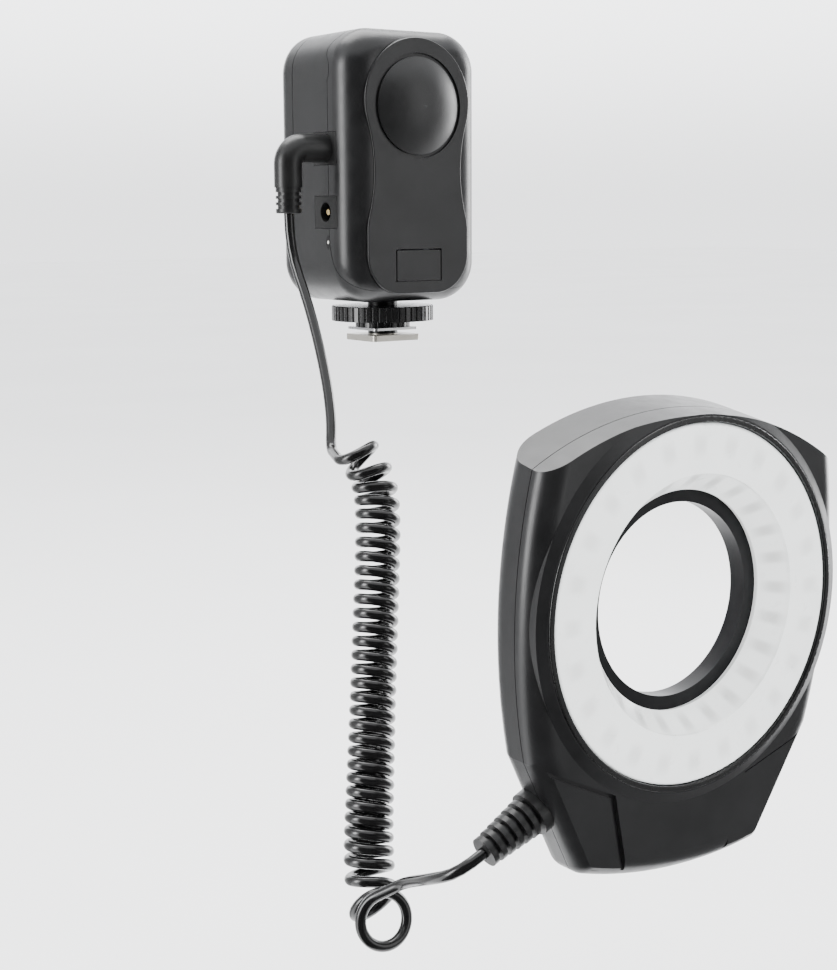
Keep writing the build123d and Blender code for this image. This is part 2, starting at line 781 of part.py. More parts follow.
def make_controls():
    """Brightness dial, two slide switches, test button and ready lamp on the back cover."""
    back_face = board_y + board_thick
    with BuildPart() as brightness_dial:
        with BuildSketch(view_plane(unit_back + slip + dial_height, 0.0, dial_z)):
            Circle(dial_r)
            with PolarLocations(dial_r, dial_flutes):
                Circle(0.5, mode=Mode.SUBTRACT)
        extrude(amount=dial_height)
        with BuildSketch(view_plane(unit_back + slip + dial_height, 0.0, dial_z)):
            with Locations((0, dial_r - 2.6)):
                Rectangle(0.9, 3.2)
        extrude(amount=0.4, mode=Mode.SUBTRACT)
        with BuildSketch(view_plane(unit_back + slip, 0.0, dial_z)):
            Circle(dial_shaft_r)
        extrude(amount=unit_back + slip - back_face - 0.6 - slip)
    save(brightness_dial, "brightness_dial")

    for label, sx in (("mode_switch", -1), ("side_switch", 1)):
        with BuildPart() as knob:
            inner_face = unit_back - unit_wall
            with BuildSketch(view_plane(inner_face - slip, sx * switch_x, switch_z)):
                Rectangle(switch_width + 1.6, switch_height + 1.6)
            extrude(amount=inner_face - slip - back_face - 1.0 - slip)
            with BuildSketch(view_plane(unit_back + switch_proud, sx * switch_x, switch_z)):
                RectangleRounded(switch_width, switch_height, 0.4)
            extrude(amount=unit_wall + switch_proud + slip)
            with BuildSketch(view_plane(unit_back + switch_proud, sx * switch_x, switch_z)):
                with GridLocations(1, 1.5, 1, 3):
                    Rectangle(switch_width, 0.5)
            extrude(amount=0.4, mode=Mode.SUBTRACT)
        save(knob, label)

    with BuildPart() as test_button:
        inner_face = unit_back - unit_wall
        with BuildSketch(view_plane(unit_back + test_proud, 0.0, test_z)):
            Circle(test_r)
        extrude(amount=unit_wall + test_proud + slip)
        fillet(test_button.faces().sort_by(Axis.Y)[-1].edges(), 0.4)
        with BuildSketch(view_plane(inner_face - slip, 0.0, test_z)):
            Circle(test_r + 0.8)
        extrude(amount=test_flange)
    save(test_button, "test_button")

    with BuildPart() as ready_lamp:
        with BuildSketch(view_plane(unit_back + 0.2, 0.0, ready_z)):
            Circle(ready_r)
        extrude(amount=unit_wall + 0.2)
        with BuildSketch(view_plane(unit_back - unit_wall, 0.0, ready_z)):
            Circle(ready_r + 0.6)
        extrude(amount=unit_back - unit_wall - back_face)
    save(ready_lamp, "ready_lamp")


def make_plug():
    """Right-angled plug in the output socket, with a ribbed collar round the cable."""
    face_x = -unit_width / 2
    collar_top = output_z - plug_drop
    with BuildPart() as cord_plug:
        with BuildLine():
            FilletPolyline((face_x, jack_y, output_z), (plug_x, jack_y, output_z),
                           (plug_x, jack_y, collar_top), radius=plug_elbow)
        with BuildSketch(Plane(origin=(face_x, jack_y, output_z), x_dir=(0, 1, 0), z_dir=(-1, 0, 0))):
            Circle(plug_r)
        sweep()
    save(cord_plug, "cord_plug")

    with BuildPart() as plug_collar:
        with BuildSketch(Plane.XY.offset(collar_top - collar_length)):
            with Locations((plug_x, jack_y)):
                Circle(collar_r)
        extrude(amount=collar_length)
        step = collar_length / (collar_ribs + 1)
        for number in range(collar_ribs):
            with BuildSketch(Plane.XY.offset(collar_top - (number + 1) * step - collar_groove)):
                with Locations((plug_x, jack_y)):
                    Circle(collar_r + 1)
                    Circle(collar_r - 0.6, mode=Mode.SUBTRACT)
            extrude(amount=2 * collar_groove, mode=Mode.SUBTRACT)
        fillet(plug_collar.faces().sort_by(Axis.Z)[0].edges(), 0.5)
    save(plug_collar, "plug_collar")

    with BuildPart() as plug_tip:
        with BuildSketch(Plane(origin=(face_x, jack_y, output_z), x_dir=(0, 1, 0), z_dir=(1, 0, 0))):
            Circle(plug_tip_r)
        extrude(amount=plug_tip_length - 1)
        with BuildSketch(Plane(origin=(face_x + plug_tip_length - 1, jack_y, output_z), x_dir=(0, 1, 0),
                               z_dir=(1, 0, 0))):
            Circle(plug_tip_r - 0.4)
        extrude(amount=1)
    save(plug_tip, "plug_tip")
    return Vector(plug_x, jack_y, collar_top - collar_length)


def axis_point(u):
    """Point and speed on the curly cord's centre line, a cubic B-spline over its points."""
    spans = len(curl_axis) - 3
    number = min(int(u), spans - 1)
    t = u - number
    a, b, c, d = curl_axis[number:number + 4]
    point = (a * (1 - t)**3 + b * (3 * t**3 - 6 * t**2 + 4)
             + c * (-3 * t**3 + 3 * t**2 + 3 * t + 1) + d * t**3) * (1 / 6)
    speed = (a * (-(1 - t)**2) + b * (3 * t**2 - 4 * t)
             + c * (-3 * t**2 + 2 * t + 1) + d * t**2) * 0.5
    return point, speed


def between(share, marks, values):
    """Value at a share of the way, on straight lines between the marks."""
    for number in range(len(marks) - 1):
        if share <= marks[number + 1]:
            part = (share - marks[number]) / (marks[number + 1] - marks[number])
            return values[number] + (values[number + 1] - values[number]) * part
    return values[-1]


def curl_stations(steps):
    """Places along the centre line, closer where the turns are, one for each step."""
    spans = len(curl_axis) - 3
    fine = 40 * spans
    walked = [0.0]
    for number in range(fine):
        share = (number + 0.5) / fine
        rise = between(share, curl_marks, curl_rises)
        walked.append(walked[-1] + axis_point(share * spans)[1].length * spans / fine / rise)
    places = []
    number = 0
    for step in range(steps + 1):
        goal = walked[-1] * step / steps
        while number < fine - 1 and walked[number + 1] < goal:
            number += 1
        part = (goal - walked[number]) / (walked[number + 1] - walked[number])
        places.append((number + part) / fine * spans)
    return places


def curl_points(steps):
    """Points on the curled wire. It winds left-handed round its centre line."""
    points = []
    spans = len(curl_axis) - 3
    for step, u in enumerate(curl_stations(steps)):
        centre, speed = axis_point(u)
        along = speed.normalized()
        across = (curl_across - along * curl_across.dot(along)).normalized()
        side = along.cross(across)
        radius = between(u / spans, curl_r_marks, curl_radii)
        angle = radians(curl_start_angle - 360 * curl_turns * step / steps)
        points.append(centre + across * (radius * cos(angle)) + side * (radius * sin(angle)))
    return points


def tangents(points):
    """Directions of travel at each point, from its neighbours."""
    found = []
    for number in range(len(points)):
        before = points[max(number - 1, 0)]
        after = points[min(number + 1, len(points) - 1)]
        found.append((after - before).normalized())
    return found


def coil_line():
    """Stations of the curls and the direction of the wire at each."""
    fine = 8
    dense = curl_points(curl_steps * fine)
    ways = tangents(dense)
    return dense[::fine], ways[::fine]


def biarc_middle(start, start_way, end, end_way):
    """Where two arcs meet that leave and arrive in the given directions."""
    chord = end - start
    both = start_way + end_way
    flat = 2 * (1 - start_way.dot(end_way))
    reach = (-chord.dot(both) + sqrt(chord.dot(both)**2 + 2 * flat * chord.dot(chord))) / (2 * flat) * 2
    reach = reach / 2
    first = start + start_way * reach
    last = end - end_way * reach
    return (first + last) * 0.5, (last - first).normalized()


def tube(path_builder, start, way):
    """A cable's round section swept along a path that starts at a point."""
    with BuildPart() as piece:
        add(path_builder.line)
        with BuildSketch(Plane(origin=start, z_dir=way)):
            Circle(cable_r)
        sweep(path=path_builder.line)
    return piece


def make_coil():
    """The curly stretch: each step is two tangent arcs, and both ends run straight."""
    stations, ways = coil_line()
    lead = 2 * cable_r
    start = stations[0] - ways[0] * lead
    finish = stations[-1] + ways[-1] * lead
    with BuildLine() as path:
        Line(start, stations[0])
        for number in range(curl_steps):
            middle, way = biarc_middle(stations[number], ways[number], stations[number + 1], ways[number + 1])
            TangentArc(stations[number], middle, tangent=ways[number])
            TangentArc(middle, stations[number + 1], tangent=way)
        Line(stations[-1], finish)
    cord_coil = tube(path, start, ways[0])
    save(cord_coil, "cord_coil")
    report_gap(path, cord_coil)
    return start, ways[0], finish, ways[-1]


def report_gap(path, piece):
    """Print the coil's volume against its length and its least gap to itself."""
    dense = curl_points(curl_steps * 8)
    skip = int(0.45 * curl_steps * 8 / curl_turns)
    least = min((dense[i] - dense[j]).length
                for i in range(0, len(dense), 2) for j in range(i + skip, min(i + 6 * skip, len(dense)), 2))
    length = sum(edge.length for edge in path.line.edges())
    expected = pi * cable_r**2 * length
    print("coil length", round(length, 1), "volume ratio", round(piece.part.volume / expected, 4),
          "least gap to itself", round(least - 2 * cable_r, 2))


def corner_radii(points):
    """Radius at each corner of a route: 0.45 of the shorter run over the tangent of half the turn."""
    radii = []
    for before, corner, after in zip(points, points[1:], points[2:]):
        turn = radians((corner - before).get_angle(after - corner))
        radii.append(0.45 * min((corner - before).length, (after - corner).length) / tan(turn / 2))
    return radii


def make_cable(label, points):
    """A free stretch of cable along a hand-chosen route."""
    radii = corner_radii(points)
    with BuildLine() as path:
        FilletPolyline(*points, radius=radii)
    piece = tube(path, points[0], (points[1] - points[0]).normalized())
    save(piece, label)
    length = sum(edge.length for edge in path.line.edges())
    expected = pi * cable_r**2 * length
    print(label, "radii", [round(r, 1) for r in radii], "length", round(length, 1),
          "volume ratio", round(piece.part.volume / expected, 4))


# Direction that the strain relief points: square to the slanted lower side of the head
side_run = hypot(hip_x - heel_x, hip_z - heel_z)
boot_way = Vector(-(hip_z - heel_z) / side_run, 0, -(hip_x - heel_x) / side_run)
boot_x = -(heel_x + (hip_x - heel_x) * (boot_z - heel_z) / (hip_z - heel_z))
boot_seat = Vector(boot_x, head_y + boot_y, head_z + boot_z)
head_middle = Vector(0, head_y, head_z)
cord_way = turned_way(boot_way)
cord_end = head_middle + turned_way(boot_seat + boot_way * boot_length - head_middle)


def boot_plane(out):
    """Plane across the strain relief, a distance out from the head's side."""
    return Plane(origin=boot_seat + boot_way * out, x_dir=(0, 1, 0), z_dir=boot_way)


def boot_hole(radius, sink):
    """Round seat for the strain relief, sunk into the head's side."""
    with BuildPart() as hole:
        with BuildSketch(boot_plane(-sink)):
            Circle(radius)
        extrude(amount=sink + 12)
    return hole.part


def make_boot():
    """Ribbed strain relief: a flange, a tapered core and six discs on it."""
    with BuildPart() as ring_boot:
        with BuildSketch(boot_plane(-boot_sink)):
            Circle(boot_flange_r)
        extrude(amount=boot_sink + boot_flange)
        with BuildSketch(boot_plane(boot_flange)):
            Circle(boot_r * boot_core)
        with BuildSketch(boot_plane(boot_length)):
            Circle(boot_end_r * boot_core)
        loft()
        step = (boot_length - boot_flange) / boot_discs
        for number in range(boot_discs):
            out = boot_flange + (number + 0.42) * step
            radius = boot_r + (boot_end_r + 0.6 - boot_r) * number / (boot_discs - 1)
            with BuildSketch(boot_plane(out)):
                Circle(radius)
            extrude(amount=0.58 * step)
        with BuildSketch(boot_plane(boot_length + 1)):
            Circle(cable_r + press_gap)
        extrude(amount=-2, mode=Mode.SUBTRACT)
    save_turned(ring_boot, "ring_boot")


def head_outline(inset):
    """Front view of the slab without its arch: convex sides, slanted lower sides, curved chin."""
    dip = chin_drop - abs(heel_z)
    with BuildSketch(Plane.XY) as outline:
        with BuildLine():
            top = shoulder_z + 24
            top_x = shoulder_x - 5.4
            Line((0, top), (top_x, top))
            ThreePointArc((top_x, top), (waist_x, waist_z + 2), (hip_x, hip_z))
            Line((hip_x, hip_z), (heel_x, heel_z))
            ThreePointArc((heel_x, heel_z), (heel_x / 2, heel_z - 0.76 * dip), (0, -chin_drop))
            Line((0, -chin_drop), (0, top))
        make_face()
        fillet(outline.vertices().filter_by(lambda v: abs(v.X - heel_x) < 0.01), chin_round)
        mirror(about=Plane.YZ)
        if inset > 0:
            offset(amount=-inset, kind=Kind.ARC)
    return outline.sketch


def arch_cylinder(inset):
    """The arched top: part of a large cylinder that climbs towards the back."""
    rise = tan(radians(arch_slope))
    with BuildPart() as arch:
        crown = arch_top - rise * slab_front - inset
        tilted = Plane(origin=(0, head_y, head_z + crown - arch_r), x_dir=(1, 0, 0),
                       z_dir=(0, -cos(radians(arch_slope)), -sin(radians(arch_slope))))
        with BuildSketch(tilted.offset(-3 * slab_back)):
            Circle(arch_r)
        extrude(amount=6 * slab_back)
    return arch.part


def slab_block(inset, sink=0.0):
    """The head's slab with rounded sides and a crisp arched top; sink moves its front back."""
    outline = head_outline(inset)
    arch = arch_cylinder(inset)
    near = slab_front + inset + sink
    far = slab_back - inset
    with BuildPart() as slab:
        with BuildSketch(head_plane(far)):
            add(outline)
        extrude(amount=far - near)
        top_z = head_z + shoulder_z + 23
        front_edges = slab.faces().sort_by(Axis.Y)[0].edges().filter_by(
            lambda e: head_z + heel_z + 3 < (e @ 0.5).Z < top_z)
        fillet(front_edges, side_front_round - inset)
        back_edges = slab.faces().sort_by(Axis.Y)[-1].edges().filter_by(lambda e: (e @ 0.5).Z < top_z)
        fillet(back_edges, side_back_round - inset)
        add(arch, mode=Mode.INTERSECT)
    return slab.part


def panel_room(side, inset, depth):
    """Room in front of one side panel of the chin, below the crease and outside the middle."""
    rise = (hip_z - crease_z) / (hip_x - crease_x)
    beside = waist_x + 12 - crease_x
    below = chin_drop + 20 + crease_z
    with BuildPart() as room:
        with BuildSketch(head_plane(depth)):
            with BuildLine():
                Polyline((side * crease_x, crease_z), (side * (crease_x - panel_slope * below), crease_z - below),
                         (side * (crease_x + beside), crease_z - below),
                         (side * (crease_x + beside), crease_z + rise * beside), close=True)
            make_face()
            if inset > 0:
                offset(amount=-inset)
        extrude(amount=depth + 5)
    return room.part


def front_mass():
    """Solid form of the head's front: slab, boss round the lamp, and the chin's recessed side panels."""
    slab = slab_block(0)
    arch = arch_cylinder(0)
    lens_disc = disc_of(bezel_r + 0.4, bezel_front, slab_back)
    with BuildPart() as arch_room:
        add(arch)
        add(lens_disc)

    with BuildPart() as boss:
        with BuildSketch(head_plane(slab_front)):
            Circle(boss_r)
        with BuildSketch(head_plane(0.0)):
            Circle(bezel_r + 0.4)
        loft()
        with BuildSketch(head_plane(head_seam)):
            Circle(boss_r)
        extrude(amount=head_seam - slab_front)
        add(arch_room.part, mode=Mode.INTERSECT)

    face = slab_front + panel_depth
    rooms = []
    for side in (-1, 1):
        inside = panel_room(side, groove_width, face + groove_depth)
        with BuildPart() as groove:
            add(panel_room(side, 0, face + groove_depth))
            add(inside, mode=Mode.SUBTRACT)
        rooms += [panel_room(side, 0, face), groove.part]

    with BuildPart() as mass:
        add(slab)
        add(boss.part)
        for room in rooms:
            add(room, mode=Mode.SUBTRACT)
    return mass.part


def head_room(near, far):
    """A block across the whole head between two depths."""
    with BuildPart() as room:
        with BuildSketch(head_plane(far)):
            Rectangle(4 * boss_r, 4 * boss_r)
        extrude(amount=far - near)
    return room.part


def make_head_shells():
    """Front and back shells of the lamp head."""
    inner = slab_block(head_wall, panel_depth)
    mass = front_mass()
    seat = boot_hole(boot_flange_r + press_gap, boot_sink)
    ahead = head_room(-10, head_seam - seam / 2)
    with BuildPart() as head_front_shell:
        add(mass)
        add(inner, mode=Mode.SUBTRACT)
        for spot in posts:
            with BuildSketch(head_plane(head_seam)):
                with Locations(spot):
                    Circle(post_r)
            extrude(amount=head_seam - slab_front - panel_depth - head_wall / 2)
        add(ahead, mode=Mode.INTERSECT)
        with BuildSketch(head_plane(head_seam + 1)):
            Circle(diffuser_r + 0.4)
        extrude(amount=head_seam + 5, mode=Mode.SUBTRACT)
        with BuildSketch(head_plane(bezel_front + bezel_depth)):
            Circle(bezel_r + press_gap)
        extrude(amount=bezel_depth + 5, mode=Mode.SUBTRACT)
        with BuildSketch(head_plane(head_seam + 1)):
            with Locations(*posts):
                Circle(head_screw_r)
        extrude(amount=4, mode=Mode.SUBTRACT)
        add(seat, mode=Mode.SUBTRACT)
    save_turned(head_front_shell, "head_front_shell")

    slab = slab_block(0)
    behind = head_room(head_seam + seam / 2, slab_back + 5)
    with BuildPart() as head_back_shell:
        add(slab)
        add(inner, mode=Mode.SUBTRACT)
        add(behind, mode=Mode.INTERSECT)
        inner_back = slab_back - head_wall
        with BuildSketch(head_plane(inner_back)):
            Circle(throat_r + throat_wall)
            Circle(spine_r)
            Circle(spine_r - spine_wall, mode=Mode.SUBTRACT)
            Circle(throat_r + throat_wall)
        extrude(amount=inner_back - reflector_back)
        with BuildSketch(head_plane(inner_back)):
            with Locations(*posts):
                Circle(post_r)
        extrude(amount=inner_back - head_seam - seam / 2)
        with BuildSketch(head_plane(slab_back + 1)):
            Circle(throat_r)
        extrude(amount=slab_back, mode=Mode.SUBTRACT)
        latch_far = adapter_y + adapter_thick + 2 * slip + latch_thick
        for side in (-1, 1):
            with BuildSketch(head_plane(latch_far + slip)):
                with Locations((side * (latch_outer + latch_travel) / 2, 0)):
                    Rectangle(latch_outer + latch_travel + 1, 2 * (latch_half + slip))
            extrude(amount=latch_thick + 2 * slip, mode=Mode.SUBTRACT)
            with BuildSketch(head_plane(slab_back + 1)):
                with Locations((side * (latch_outer - latch_knob / 2 + latch_travel / 2), 0)):
                    RectangleRounded(latch_knob + latch_travel + 2 * slip, 2 * (latch_knob_half + slip), 0.4)
            extrude(amount=slab_back + 1 - latch_far, mode=Mode.SUBTRACT)
        with BuildSketch(head_plane(slab_back + 1)):
            with Locations(*posts):
                Circle(screw_head_r + slip)
        extrude(amount=1 + screw_head_depth, mode=Mode.SUBTRACT)
        with BuildSketch(head_plane(slab_back + 1)):
            with Locations(*posts):
                Circle(head_screw_r + slip)
        extrude(amount=slab_back, mode=Mode.SUBTRACT)
        add(seat, mode=Mode.SUBTRACT)
    save_turned(head_back_shell, "head_back_shell")


def make_head_screws():
    """Four screws from the back that hold the head's shells together."""
    length = slab_back - screw_head_depth - head_seam + 2.6
    with BuildPart() as head_screws:
        with BuildSketch(head_plane(slab_back - 0.1)):
            with Locations(*posts):
                Circle(screw_head_r)
        extrude(amount=screw_head_depth - 0.1)
        with BuildSketch(head_plane(slab_back - screw_head_depth)):
            with Locations(*posts):
                Circle(head_screw_r)
        extrude(amount=length)
        with BuildSketch(head_plane(slab_back)):
            with Locations(*posts):
                Rectangle(2.6, 0.5)
                Rectangle(0.5, 2.6)
        extrude(amount=0.7, mode=Mode.SUBTRACT)
    save_turned(head_screws, "head_screws")


def make_optics():
    """Bezel ring, diffuser, reflector dish, lamp board and lamps."""
    with BuildPart() as bezel:
        with BuildSketch(head_plane(bezel_front + bezel_depth)):
            Circle(bezel_r)
            Circle(diffuser_r + slip, mode=Mode.SUBTRACT)
        extrude(amount=bezel_depth)
        fillet(bezel.faces().sort_by(Axis.Y)[0].edges(), 0.4)
    save(bezel, "bezel")

    lens_axis = Axis((0, head_y, head_z), (0, 1, 0))
    slope = atan2(diffuser_flat_r - 0.2 - diffuser_hole_r, diffuser_hole_y - diffuser_step)
    inner_step = diffuser_step + diffuser_skin * sin(slope)
    inner_r = diffuser_flat_r - 0.2 + diffuser_skin * cos(slope)
    foot_r = inner_r - (reflector_base - slip / 3 - inner_step) * tan(slope)
    with BuildPart() as diffuser:
        with BuildSketch(Plane.XY.offset(head_z)):
            with BuildLine():
                Polyline((diffuser_r, head_y), (diffuser_flat_r, head_y),
                         (diffuser_flat_r - 0.2, head_y + diffuser_step),
                         (diffuser_hole_r, head_y + diffuser_hole_y),
                         (diffuser_hole_r, head_y + reflector_base - slip / 3),
                         (foot_r, head_y + reflector_base - slip / 3),
                         (inner_r, head_y + inner_step),
                         (inner_r + 0.2, head_y + diffuser_skin),
                         (diffuser_r - diffuser_skin, head_y + diffuser_skin),
                         (diffuser_r - diffuser_skin, head_y + diffuser_rim),
                         (diffuser_r, head_y + diffuser_rim), close=True)
            make_face()
        revolve(axis=lens_axis)
        front_rim = diffuser.faces().sort_by(Axis.Y)[0].edges().sort_by(lambda e: e.radius)
        fillet(front_rim[-1], 0.9)
    save(diffuser, "diffuser")

    with BuildPart() as reflector:
        with BuildSketch(head_plane(reflector_back)):
            Circle(diffuser_r)
            Circle(reflector_hole_r, mode=Mode.SUBTRACT)
        extrude(amount=reflector_back - reflector_base)
        with BuildSketch(head_plane(reflector_base)):
            Circle(diffuser_r)
            Circle(diffuser_r - reflector_wall, mode=Mode.SUBTRACT)
        extrude(amount=reflector_base - diffuser_rim - slip)
    save(reflector, "reflector")

    board_far = reflector_base - 0.05
    with BuildPart() as led_board:
        with BuildSketch(head_plane(board_far)):
            Circle(diffuser_r - reflector_wall - 0.3)
            Circle(led_board_r, mode=Mode.SUBTRACT)
        extrude(amount=led_board_thick)
    save(led_board, "led_board")

    with BuildPart() as leds:
        with BuildSketch(head_plane(board_far - led_board_thick)):
            with PolarLocations(led_rings[0], led_count):
                Rectangle(led_size, led_size)
            with PolarLocations(led_rings[1], led_count, start_angle=180 / led_count):
                Rectangle(led_size, led_size)
        extrude(amount=led_height)
    save_turned(leds, "leds")


def make_adapter():
    """Lens adapter ring with its male thread, and the two latches that hold it."""
    far = adapter_y + adapter_thick
    with BuildPart() as adapter_ring:
        with BuildSketch(head_plane(far)):
            Circle(adapter_flange_r)
        extrude(amount=adapter_thick)
        with BuildSketch(head_plane(far + thread_length)):
            Circle(thread_r)
        extrude(amount=thread_length)
        chamfer(adapter_ring.faces().sort_by(Axis.Y)[0].edges(), 0.3)
        with BuildSketch(head_plane(far + thread_length)):
            Circle(adapter_bore_r)
        extrude(amount=thread_length + adapter_thick, mode=Mode.SUBTRACT)
        with BuildSketch(head_plane(far)):
            Circle(thread_r + 0.1)
            Circle(thread_r - 0.5, mode=Mode.SUBTRACT)
        extrude(amount=-0.5, mode=Mode.SUBTRACT)
    save(adapter_ring, "adapter_ring")

    latch_far = far + 2 * slip + latch_thick - slip
    for label, side in (("latch_left", -1), ("latch_right", 1)):
        with BuildPart() as latch:
            with BuildSketch(head_plane(latch_far)):
                with Locations((side * latch_outer / 2, 0)):
                    Rectangle(latch_outer, 2 * latch_half)
                Circle(latch_reach, mode=Mode.SUBTRACT)
            extrude(amount=latch_thick)
            with BuildSketch(head_plane(slab_back + latch_proud)):
                with Locations((side * (latch_outer - latch_knob / 2), 0)):
                    RectangleRounded(latch_knob, 2 * latch_knob_half, 0.4)
            extrude(amount=slab_back + latch_proud - latch_far)
            with BuildSketch(head_plane(slab_back + latch_proud)):
                with Locations((side * (latch_outer - latch_knob / 2), 0)):
                    with GridLocations(1.1, 1, 2, 1):
                        Rectangle(0.5, 2 * latch_knob_half)
            extrude(amount=0.4, mode=Mode.SUBTRACT)
        save_turned(latch, label)


def build_all():
    make_foot()
    make_lock()
    make_unit_shells()
    make_unit_screws()
    make_door()
    make_cells()
    tray_back = make_tray()
    make_board(tray_back)
    make_jacks()
    make_controls()
    plug_end = make_plug()
    coil_start, start_way, coil_end, end_way = make_coil()
    make_cable("cord_upper", [plug_end, plug_end - Vector(0, 0, upper_first), *upper_corners,
                              coil_start - start_way * upper_last, coil_start])
    make_cable("cord_lower", [coil_end, coil_end + end_way * lower_first, cord_end + lower_turn,
                              cord_end + cord_way * lower_last, cord_end])
    make_boot()
    make_head_shells()
    make_head_screws()
    make_optics()
    make_adapter()


os.makedirs("parts", exist_ok=True)
build_all()
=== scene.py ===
import json
import math

import bpy
from mathutils import Matrix, Vector


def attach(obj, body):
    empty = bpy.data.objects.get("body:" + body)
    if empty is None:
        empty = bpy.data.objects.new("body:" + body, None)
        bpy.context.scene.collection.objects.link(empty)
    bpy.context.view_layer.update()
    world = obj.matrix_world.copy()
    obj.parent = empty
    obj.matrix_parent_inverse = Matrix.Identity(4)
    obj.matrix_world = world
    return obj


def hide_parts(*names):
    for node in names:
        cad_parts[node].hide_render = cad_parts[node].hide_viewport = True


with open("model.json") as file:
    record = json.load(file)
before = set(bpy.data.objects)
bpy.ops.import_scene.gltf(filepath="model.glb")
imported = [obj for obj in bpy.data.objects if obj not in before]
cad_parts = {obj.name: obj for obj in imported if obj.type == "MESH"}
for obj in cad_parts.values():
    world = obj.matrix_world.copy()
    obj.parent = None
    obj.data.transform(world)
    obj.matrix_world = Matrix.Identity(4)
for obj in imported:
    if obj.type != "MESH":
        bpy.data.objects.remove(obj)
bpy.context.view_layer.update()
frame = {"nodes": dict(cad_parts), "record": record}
scene = bpy.context.scene
MM = 0.001


def mm(x, y, z):
    """A point given in millimetres, in metres."""
    return Vector((x * MM, y * MM, z * MM))


# Camera at the photograph's viewing angle; the focal length is in the photograph's pixels
FOCAL_PIXELS, PICTURE_HEIGHT = 1670.0, 970.0
SENSOR = 36.0
YAW, PITCH, ROLL = math.radians(34.61), math.radians(9.303), math.radians(0.36)
CAMERA_SPOT = mm(-313.6, -475.3, 42.9)

ahead = Vector((math.sin(YAW) * math.cos(PITCH), math.cos(YAW) * math.cos(PITCH), -math.sin(PITCH)))
right = Vector((math.cos(YAW), -math.sin(YAW), 0.0))
down = ahead.cross(right)
right = right * math.cos(ROLL) + down * math.sin(ROLL)
down = ahead.cross(right)
lens = bpy.data.cameras.new("photo_camera")
lens.sensor_fit = "AUTO"
lens.sensor_width = SENSOR
lens.lens = FOCAL_PIXELS / PICTURE_HEIGHT * SENSOR
lens.clip_start = 0.01
lens.clip_end = 20.0
camera = bpy.data.objects.new("photo_camera", lens)
scene.collection.objects.link(camera)
camera.matrix_world = Matrix.Translation(CAMERA_SPOT) @ Matrix((right, -down, -ahead)).transposed().to_4x4()
scene.camera = camera


# Sizes shared with the CAD source, in millimetres
HEAD_Y, HEAD_Z = -154.0, -63.3
HEAD_ROLL = math.radians(3.5)
HEEL_X, HEEL_Z = 33.0, -72.0
HIP_RIGHT, HIP_UP = 18.0, 32.5
FOOT_THICK = 2.0
LAMP_Y, LAMP_Z = -8.6, 33.2
BOOT_Y, BOOT_UP, BOOT_LENGTH = 12.0, 17.75, 19.2
CABLE_R = 1.6

# The curls, also from the CAD source. The rise per turn and the radius change along their
# centre line, whose control points follow; the marks are shares of that line.
CURL_TURNS = 32.22
CURL_PER_TURN = 16
CURL_START = 180.0
CURL_ACROSS = Vector((0.82, -0.57, 0.0))
CURL_MARKS = (0.0, 0.06, 0.16, 0.60, 0.70, 0.78, 0.92, 0.96, 1.0)
CURL_RISES = (8.0, 7.0, 4.6, 3.72, 4.1, 10.2, 10.8, 24.0, 60.0)
CURL_R_MARKS = (0.0, 0.45, 0.75, 0.90, 1.0)
CURL_RADII = (5.45, 5.45, 6.05, 7.5, 7.5)
CURL_AXIS = [Vector(p) for p in (
    (-53.5, -50.0, -19.5), (-47.0, -53.5, -26.5), (-40.8, -56.3, -35.5), (-41.2, -59.5, -47.0),
    (-48.0, -67.6, -73.0), (-54.8, -75.8, -100.0), (-60.8, -83.0, -124.0), (-64.2, -87.0, -138.0),
    (-66.0, -90.7, -153.0), (-67.8, -101.0, -156.4), (-72.6, -110.5, -150.6), (-77.4, -120.0, -144.8))]
MEASURE_STEPS = 40


def axis_point(u):
    """Point and speed on the curls' centre line, a cubic B-spline over its points."""
    number = min(int(u), len(CURL_AXIS) - 4)
    t = u - number
    a, b, c, d = CURL_AXIS[number:number + 4]
    point = (a * (1 - t) ** 3 + b * (3 * t ** 3 - 6 * t ** 2 + 4)
             + c * (-3 * t ** 3 + 3 * t ** 2 + 3 * t + 1) + d * t ** 3) / 6
    speed = (a * (-(1 - t) ** 2) + b * (3 * t ** 2 - 4 * t)
             + c * (-3 * t ** 2 + 2 * t + 1) + d * t ** 2) / 2
    return point, speed


def between(share, marks, values):
    """Value at a share of the way, on straight lines between the marks."""
    for number in range(len(marks) - 1):
        if share <= marks[number + 1]:
            part = (share - marks[number]) / (marks[number + 1] - marks[number])
            return values[number] + (values[number + 1] - values[number]) * part
    return values[-1]


def curl_points():
    """Control points of the curls, left-handed round their centre line."""
    spans = len(CURL_AXIS) - 3
    fine = MEASURE_STEPS * spans
    walked = [0.0]
    for number in range(fine):
        share = (number + 0.5) / fine
        rise = between(share, CURL_MARKS, CURL_RISES)
        walked.append(walked[-1] + axis_point(share * spans)[1].length * spans / fine / rise)
    steps = round(CURL_TURNS * CURL_PER_TURN)
    points = []
    number = 0
    for step in range(steps + 1):
        goal = walked[-1] * step / steps
        while number < fine - 1 and walked[number + 1] < goal:
            number += 1
        part = (goal - walked[number]) / (walked[number + 1] - walked[number])
        u = (number + part) / fine * spans
        centre, speed = axis_point(u)
        along = speed.normalized()
        across = (CURL_ACROSS - along * CURL_ACROSS.dot(along)).normalized()
        side = along.cross(across)
        radius = between(u / spans, CURL_R_MARKS, CURL_RADII)
        angle = math.radians(CURL_START - 360 * CURL_TURNS * step / steps)
        points.append(centre + across * (radius * math.cos(angle)) + side * (radius * math.sin(angle)))
    return points


